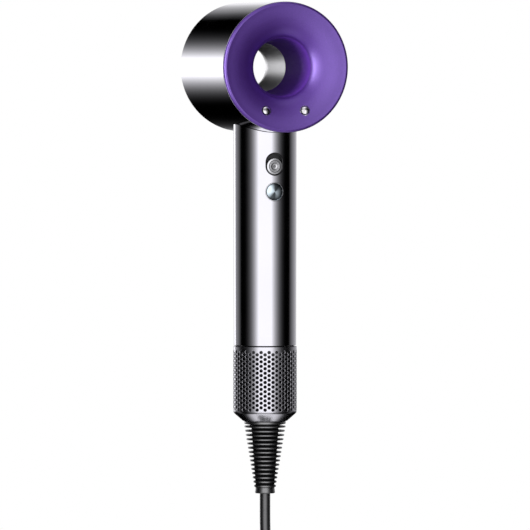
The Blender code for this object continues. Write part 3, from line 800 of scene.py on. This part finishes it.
def make_strain_relief():
    corners = [(0, -99.5), (8.0, -99.5), (8.0, -103.0), (6.0, -103.0), (6.0, -105.5), (8.2, -105.5)]
    corners += [(8.2, -110.0), (12.5, -110.1, 0.2), (12.5, -111.5, 0.5)]
    for number in range(RIBS):
        share = number / (RIBS - 1)
        core_r, rib_r = 8.2 - 2.6 * share, 12.4 - 5.8 * share
        middle = RIB_FIRST_Z - RIB_PITCH * number
        corners += [(core_r, middle + 0.85, 0.2), (rib_r, middle + 0.42, 0.32)]
        corners += [(rib_r, middle - 0.42, 0.32), (core_r, middle - 0.85, 0.2)]
    corners += [(5.7, RELIEF_END_Z + 3.4, 0.2), (6.1, RELIEF_END_Z + 0.5, 0.3), (5.6, RELIEF_END_Z, 0.3)]
    corners += [(0, RELIEF_END_Z)]
    mesh = lathe("relief", corners, 96, 40)
    relief = piece("ribbed_relief", mesh, "soft_black", nodes=["strain_relief"])
    # the faces between the ribs take the darker copy of the rubber: painted shade
    relief.data.materials.append(LOOKS["boot_groove"])
    for face in relief.data.polygons:
        share = (RIB_FIRST_Z - face.center.z / MM) / (RIB_PITCH * (RIBS - 1))
        if 0 < share < 1 and face.center.xy.length < (9.2 - 2.9 * share) * MM:
            face.material_index = 1


# The mains cord ----------------------------------------------------------------------------------------------
LEAD_ROUTE = [
    (0, 0, RELIEF_END_Z + 0.4),
    (0, 0, -165.0),
    (0, 0, -174.0),
    (0, -0.95, -181.0),
    (0, -3.25, -188.5),
    (0, -5.6, -196.0),
    (0, -CORD_D, HANK_TOP_Z + 0.3),
]
NESTS = (32.6, 26.3, 20.0)  # fold radii of the turns side by side
LAYERS = (0.0, 6.5, 13.0)
NOMINAL_R = 26.0
WAIST = 2.0
OUTER_R = NESTS[0] + CORD_D / 2 + 0.3
STRAIGHT = HANK_TOP_Z - HANK_FOOT_Z - 2 * OUTER_R
MIDDLE_Z = (HANK_TOP_Z + HANK_FOOT_Z) / 2
TURN = 2 * STRAIGHT + 2 * math.pi * NOMINAL_R
SHIFT = 44.0  # length along the cord in which it moves to the next turn's place
TAIL_Y = 3 * CORD_D
FRONT_Y = -CORD_D


def eased(share):
    share = min(1.0, max(0.0, share))
    return (1 - math.cos(math.pi * share)) / 2


def racetrack(along, radius):
    """(x, z) at a length along the nominal turn, which starts half-way down the left side."""
    along %= TURN
    bow = math.pi * NOMINAL_R

    def pull(height):
        return WAIST * (1 + math.cos(2 * math.pi * height / STRAIGHT)) / 2

    if along < STRAIGHT / 2:
        return -radius + pull(-along), -along
    along -= STRAIGHT / 2
    if along < bow:
        angle = math.pi + along / NOMINAL_R
        return radius * math.cos(angle), -STRAIGHT / 2 + radius * math.sin(angle)
    along -= bow
    if along < STRAIGHT:
        return radius - pull(along - STRAIGHT / 2), along - STRAIGHT / 2
    along -= STRAIGHT
    if along < bow:
        angle = along / NOMINAL_R
        return radius * math.cos(angle), STRAIGHT / 2 + radius * math.sin(angle)
    along -= bow
    return -radius + pull(STRAIGHT / 2 - along), STRAIGHT / 2 - along


def hank_places():
    """(radius, layer, where it shifts to the next) of each turn, from the lead's first to the tail's."""
    places = []
    for layer, y in enumerate(LAYERS):
        for radius in NESTS if layer % 2 == 0 else NESTS[::-1]:
            places.append((radius, y))
    shifts = []
    stagger = 24.0
    for number in range(1, len(places)):
        shifts.append(stagger)
        same_layer_next = number + 1 < len(places) and places[number + 1][1] == places[number][1]
        same_layer_now = places[number][1] == places[number - 1][1]
        if not (same_layer_now and same_layer_next):
            stagger -= 12.0
    return places, shifts


def cord_line():
    """The whole cord's centreline: lead, hank and tail."""
    line = spline(LEAD_ROUTE, 5)
    step = 2.5
    drop = 66.0
    lead_top = LEAD_ROUTE[-1][2]
    join_at = 36.0  # the lead drops into the first turn here, past the middle of the left side
    places, shifts = hank_places()
    first_r = places[0][0]
    reach = racetrack(0, first_r)[0]
    height = lead_top - 4
    while height > MIDDLE_Z - 1:
        line.append(Vector((reach * eased((lead_top - 4 - height) / drop), FRONT_Y, height)))
        height -= step

    total = len(places) * TURN
    tail_at = total - 36.0
    along = max(0.0, MIDDLE_Z - height)
    while along < tail_at + SHIFT / 2:
        radius, y = places[0]
        for turn, at in enumerate(shifts, start=1):
            share = eased((along - (turn * TURN + at) + SHIFT / 2) / SHIFT)
            radius += (places[turn][0] - places[turn - 1][0]) * share
            y += (places[turn][1] - places[turn - 1][1]) * share
        y += (FRONT_Y - places[0][1]) * (1 - eased((along - join_at + SHIFT / 2) / SHIFT))
        y += (TAIL_Y - places[-1][1]) * eased((along - tail_at + SHIFT / 2) / SHIFT)
        x, z = racetrack(along, radius)
        line.append(Vector((x, y, MIDDLE_Z + z)))
        along += step

    last = line[-1]
    drop = last.z - (HANK_FOOT_Z + 24)
    height = last.z - step
    while height > HANK_FOOT_Z + 10:
        line.append(Vector((last.x * (1 - eased((last.z - height) / drop)), TAIL_Y, height)))
        height -= step
    line.append(Vector((0, TAIL_Y, HANK_FOOT_Z)))
    line.append(Vector((0, TAIL_Y, PLUG_TOP_Z - 2)))
    return smoothed(evenly(line, step))


def evenly(line, step):
    """Points the same distance apart along a line."""
    made, left = [line[0]], step
    for start, end in zip(line, line[1:]):
        length = (end - start).length
        while left <= length and length > 0:
            made.append(start.lerp(end, left / length))
            left += step
        left -= length
    return made + [line[-1]]


def smoothed(line, passes=12):
    for _ in range(passes):
        inner = [(a + 2 * b + c) / 4 for a, b, c in zip(line, line[1:], line[2:])]
        line = line[:1] + inner + line[-1:]
    return line


def make_cord():
    line = cord_line()
    data = bpy.data.curves.new("mains_cord", "CURVE")
    data.dimensions = "3D"
    data.bevel_depth = 0.985 * CORD_D / 2 * MM
    data.bevel_resolution = 5
    data.use_fill_caps = True
    spline_data = data.splines.new("POLY")
    spline_data.points.add(len(line) - 1)
    for point, place in zip(spline_data.points, line):
        point.co = (*(place * MM), 1)
    spline_data.use_smooth = True
    cord = piece("mains_cord", data, "cord_sheath", nodes=["cord_lead", "cord_hank", "cord_tail"])
    length = sum((b - a).length for a, b in zip(line, line[1:])) * MM
    return cord, line[0] * MM, length


def make_strap():
    """A hook-and-loop tie round the hank's waist, its end lapped over on the front."""
    reach = CORD_D / 2
    half_x, low_y, high_y = NESTS[0] - WAIST + reach + 0.5, FRONT_Y - reach - 0.5, TAIL_Y + reach + 0.5
    corner, half = 5.0, 8.0
    corners = [(-half_x, high_y), (half_x, high_y), (half_x, low_y), (-half_x, low_y)]
    corners = [(*point, corner) for point in corners]
    outline = rounded(corners, 8)
    bm = bmesh.new()
    rows = []
    for height in (-half, -half + 0.6, 0, half - 0.6, half):
        rows.append([bm.verts.new((x * MM, y * MM, height * MM)) for x, y in outline])
    for first, second in zip(rows, rows[1:]):
        bridge(bm, first, second)
    mesh = mesh_from(bm, "strap", 60)
    place = Matrix.Translation((0, 0, MIDDLE_Z * MM))
    band = piece("cord_tie", mesh, "strap_weave", nodes=["cord_strap"], matrix=place)
    thick = band.modifiers.new("thickness", "SOLIDIFY")
    thick.thickness, thick.offset = 1.1 * MM, 1.0
    lap = prism("lap", rounded([(-16, -half, 2.5), (15, -half), (15, half), (-16, half, 2.5)], 5), 0, 1.2, 0.25)
    place = Matrix.Translation((0, (low_y - 1.1) * MM, MIDDLE_Z * MM)) @ REAR
    end = piece("cord_tie_end", lap, "strap_weave", matrix=place)
    return [band, end]


def plug_section(radius, height, depth, steps=72):
    """A rounded section as wide as the plug and no deeper than its two grip faces."""
    ring = []
    for x, y, z in circle(radius, height, steps):
        flat = min(radius, depth)
        ring.append((x, flat * math.copysign(min(abs(y) / flat, 1) ** 0.8, y) if abs(y) < flat else
                     math.copysign(flat, y), z))
    return ring


def make_plug():
    place = Matrix.Translation((0, TAIL_Y * MM, PLUG_TOP_Z * MM))
    guard = [(0, 0), (4.1, 0, 0.3)]
    rings = 5
    for number in range(rings):
        top = -1.6 - 2.9 * number
        wide = 4.5 + 1.0 * number / rings
        guard += [(wide, top, 0.25), (wide + 0.1, top - 1.6, 0.25)]
        guard += [(wide - 0.7, top - 1.8), (wide - 0.65, top - 2.7)]
    guard += [(5.6, -16.2), (0, -16.2)]
    profile = spline([(5.4, -15.9), (6.1, -17.6), (8.4, -20.0), (11.8, -24.0), (15.2, -29.4), (17.3, -33.4)], 4)
    profile = [tuple(point) for point in profile] + [(PLUG_R - 0.3, -35.2), (PLUG_R, -36.5), (PLUG_R, -40.9)]
    profile += [(PLUG_R - 0.35, -41.6), (PLUG_R - 1.1, -42.0)]
    sections = [[(0, 0, -15.9)]] + [plug_section(r, z, 12.8) for r, z in profile] + [[(0, 0, -42.0)]]
    body = piece("plug_shell", loft("plug", sections, angle=40), "black_plastic",
                 nodes=["plug_body"], matrix=place)
    guard = piece("plug_guard", lathe("guard", guard, 64), "black_plastic", matrix=place)
    pieces = [body, guard]
    corners = [(-7, -0.45, 0.4), (7, -0.45, 0.4), (7, 0.45, 0.4), (-7, 0.45, 0.4)]
    grip = prism("grip_rib", rounded(corners, 3), 0, 0.6, 0.2)
    for face, turn in ((-1, 90), (1, -90)):
        for number in range(4):
            spot = Matrix.Translation((0, face * 12.6 * MM, (-30 - 2.6 * number) * MM))
            tilt = Matrix.Rotation(math.radians(turn), 4, "X")
            name = f"plug_grip_{'front' if face < 0 else 'back'}_{number + 1}"
            pieces.append(piece(name, grip.copy(), "black_plastic", matrix=place @ spot @ tilt))
    pin = [(0, -41.5), (2.4, -41.5), (2.4, -60.3, 0.5), (1.7, -61.3, 0.3), (0, -61.3)]
    for number, across in ((1, -1), (2, 1)):
        spot = place @ Matrix.Translation((across * PIN_SPACING / 2 * MM, 0, 0))
        node = f"plug_pin_{number}"
        mesh = lathe("pin", pin, 48)
        pieces.append(piece(f"plug_prong_{number}", mesh, "steel", nodes=[node], matrix=spot))
    return pieces


def finish_inside():
    """The CAD nodes that stay get their slot's material."""
    slots = {entry["node"]: entry["material_slot"] for entry in frame["record"]["subparts"]}
    for name, obj in frame["nodes"].items():
        # the filter screen takes the near-black screen material, painted shade, in place of its slot's material
        look = "mesh_screen" if name == "filter_mesh" else slots[name]
        for index in range(len(obj.material_slots)):
            obj.material_slots[index].material = LOOKS[look]


# Studio ------------------------------------------------------------------------------------------------------
CAMERA_AZIMUTH = -18.2
CAMERA_PITCH = 1.745
CAMERA_DISTANCE = 3.906
CAMERA_LENS = 441.0
SENSOR_WIDTH = 36.0
FURTHEST_SEEN = 50
AIM = Vector((0, 0, -0.016))


def make_camera():
    azimuth, pitch = math.radians(CAMERA_AZIMUTH), math.radians(CAMERA_PITCH)
    back = Vector((math.sin(azimuth) * math.cos(pitch), -math.cos(azimuth) * math.cos(pitch), math.sin(pitch)))
    data = bpy.data.cameras.new("camera")
    data.lens, data.sensor_width = CAMERA_LENS, SENSOR_WIDTH
    data.clip_end = FURTHEST_SEEN
    camera = bpy.data.objects.new("camera", data)
    bpy.context.scene.collection.objects.link(camera)
    camera.location = AIM + back * CAMERA_DISTANCE
    camera.rotation_mode = "QUATERNION"
    camera.rotation_quaternion = (-back).to_track_quat("-Z", "Y")
    bpy.context.scene.camera = camera


def grey(level):
    """The linear value of an 8-bit grey."""
    return (level / 255) ** 2.2


class Sky:
    """The studio as a world: a wide soft light at the camera and dark flags at both sides."""

    def __init__(self):
        self.world = bpy.data.worlds.new("studio")
        bpy.context.scene.world = self.world
        self.world.use_nodes = True
        self.tree = self.world.node_tree
        self.tree.nodes.clear()

    def math(self, operation, *inputs, clamp=False):
        node = self.tree.nodes.new("ShaderNodeMath")
        node.operation, node.use_clamp = operation, clamp
        for socket, value in zip(node.inputs, inputs):
            if isinstance(value, (int, float)):
                socket.default_value = value
            else:
                self.tree.links.new(value, socket)
        return node.outputs[0]

    def curve(self, source, scale, stops):
        """A ramp through (angle in degrees, grey level) stops, of a source in radians."""
        ramp = self.tree.nodes.new("ShaderNodeValToRGB")
        self.tree.links.new(self.math("DIVIDE", source, math.radians(scale)), ramp.inputs[0])
        elements = ramp.color_ramp.elements
        while len(elements) < len(stops):
            elements.new(0.5)
        for element, (angle, level) in zip(elements, stops):
            element.position = angle / scale
            element.color = (*[grey(level)] * 3, 1)
        return ramp.outputs["Color"]

    def fade(self, source, full, dark, power):
        """Full light at one angle and none at another, in degrees, falling off by a power."""
        full, dark = math.radians(full), math.radians(dark)
        share = self.math("DIVIDE", self.math("SUBTRACT", dark, source), dark - full, clamp=True)
        return self.math("POWER", share, power)

    def build(self):
        nodes, links = self.tree.nodes, self.tree.links
        place = nodes.new("ShaderNodeTexCoord").outputs["Generated"]
        turn = nodes.new("ShaderNodeVectorRotate")
        turn.rotation_type = "Z_AXIS"
        turn.inputs["Angle"].default_value = math.radians(-CAMERA_AZIMUTH)
        links.new(place, turn.inputs["Vector"])
        split = nodes.new("ShaderNodeSeparateXYZ")
        links.new(turn.outputs[0], split.inputs[0])
        x, y, z = split.outputs
        azimuth = self.math("ARCTAN2", self.math("ABSOLUTE", x), self.math("MULTIPLY", y, -1.0))
        elevation = self.math("ABSOLUTE", self.math("ARCSINE", z))

        front = self.math(
            "ADD", self.fade(azimuth, *FRONT_LIGHT), self.math("MULTIPLY", self.fade(azimuth, *REAR_WALL), REAR_SHARE)
        )
        front_height = self.curve(elevation, 90, FRONT_HEIGHT_STOPS)
        back_height = self.fade(elevation, *BACK_BAND)
        above = self.fade(elevation, *ABOVE_BAND)
        below = self.fade(elevation, *BELOW_BAND)
        is_above = self.math("GREATER_THAN", z, 0.0)
        straight_height = self.math(
            "ADD",
            self.math("MULTIPLY", above, is_above),
            self.math("MULTIPLY", below, self.math("SUBTRACT", 1.0, is_above)),
        )
        is_back = self.curve(azimuth, 180, [(0, 0), (110, 0), (126, 255), (163, 255), (170, 0)])
        is_straight = self.curve(azimuth, 180, [(0, 0), (163, 0), (170, 255)])
        is_front = self.math("SUBTRACT", 1.0, self.math("ADD", is_back, is_straight), clamp=True)
        height = self.math(
            "ADD",
            self.math("MULTIPLY", is_front, front_height),
            self.math(
                "ADD",
                self.math("MULTIPLY", is_back, back_height),
                self.math("MULTIPLY", is_straight, straight_height),
            ),
        )
        strip = self.curve(azimuth, 180, [(0, 0), (139, 0), (141, 255), (155, 255), (159, 0)])
        left = self.math("LESS_THAN", x, 0.0)
        strip = self.math("MULTIPLY", self.math("MULTIPLY", strip, left), 1.15)
        wall = self.math("MAXIMUM", front, strip)
        pole = self.curve(elevation, 90, [(0, 0), (52, 0), (68, 255)])
        wall = self.math(
            "ADD",
            self.math("MULTIPLY", self.math("MULTIPLY", wall, height), self.math("SUBTRACT", 1.0, pole)),
            self.math("MULTIPLY", pole, grey(POLE_LEVEL)),
        )
        light = self.math("MULTIPLY", wall, LIGHT)

        shown = nodes.new("ShaderNodeLightPath").outputs["Is Camera Ray"]
        seen = nodes.new("ShaderNodeBackground")
        seen.inputs["Color"].default_value = (1, 1, 1, 1)
        lit = nodes.new("ShaderNodeBackground")
        lit.inputs["Strength"].default_value = 1.0
        tint = nodes.new("ShaderNodeCombineColor")
        for socket, share in zip(tint.inputs, (1.0, 0.995, 1.02)):
            links.new(self.math("MULTIPLY", light, share), socket)
        links.new(tint.outputs[0], lit.inputs["Color"])
        mix = nodes.new("ShaderNodeMixShader")
        links.new(shown, mix.inputs[0])
        links.new(lit.outputs[0], mix.inputs[1])
        links.new(seen.outputs[0], mix.inputs[2])
        links.new(mix.outputs[0], nodes.new("ShaderNodeOutputWorld").inputs["Surface"])


def make_panel(name, azimuth, size, watts, receivers):
    """A soft light at the head's height, flagged so that it falls on the receivers only."""
    data = bpy.data.lights.new(name, "AREA")
    data.shape, data.size, data.size_y = "RECTANGLE", *size
    data.energy = watts
    light = bpy.data.objects.new(name, data)
    bpy.context.scene.collection.objects.link(light)
    turn = math.radians(azimuth)
    back = Vector((math.sin(turn), -math.cos(turn), 0))
    light.location = Vector((0, 0, HEAD_Z * MM)) + back * PANEL_DISTANCE
    light.rotation_mode = "QUATERNION"
    light.rotation_quaternion = (-back).to_track_quat("-Z", "Y")
    light.visible_camera = False
    lit = bpy.data.collections.new(f"{name}_lit")
    for obj in receivers:
        lit.objects.link(obj)
    light.light_linking.receiver_collection = lit


PANEL_DISTANCE = 1.2
LIGHT = 1.62  # how much brighter the studio is than the paper white
# Each light is full at its first angle and gone at its second, and its third number is the power of its fall.
FRONT_LIGHT = (24, 90, 4)
REAR_WALL = (180, 100, 1)
REAR_SHARE = 0.6
BACK_BAND = (4, 18, 3)
ABOVE_BAND = (8, 19, 1)
BELOW_BAND = (0, 20, 3)
FRONT_HEIGHT_STOPS = [(0, 255), (24, 255), (34, 170), (48, 120), (70, 150), (90, 170)]
POLE_LEVEL = 215


FLOOR_R = 2500
FLOOR_DEPTH = 5
FLOOR_GAP = 0.05  # metres between the floor and the lowest solid


def make_floor():
    """A pale round floor well below the hanging plug."""
    mesh = lathe("floor", [(0, 0), (FLOOR_R, 0), (FLOOR_R, -FLOOR_DEPTH), (0, -FLOOR_DEPTH)], 96)
    floor = bpy.data.objects.new("floor", mesh)
    bpy.context.scene.collection.objects.link(floor)
    floor.location.z = cad_box[0].z - FLOOR_GAP
    floor.visible_glossy = False
    look = Nodes("pale_floor")
    look.colour(look.noise(4), (0.80, 0.80, 0.80), (0.82, 0.82, 0.82))
    look.rough(look.noise(30), 0.8, 0.9)
    mesh.materials.append(look.material)


bpy.context.scene.view_settings.view_transform = "Standard"
make_camera()
make_floor()
Sky().build()

cord, cord_exit, cord_length = make_cord()
tie = make_strap()
plug = make_plug()
make_barrel()
cowl = make_cowl()
make_head_buttons()
duct = make_inner_duct()
make_panel("side_panel", -72, (0.45, 1.3), 24, [cowl])
make_panel("front_panel", -6, (0.5, 1.0), 2.4, [cowl])
make_panel("rear_panel", 192, (1.0, 0.6), 1.9, [duct])
make_outlet()
make_handle()
make_power_switch()
make_cool_shot()
make_cage()
make_strain_relief()
finish_inside()
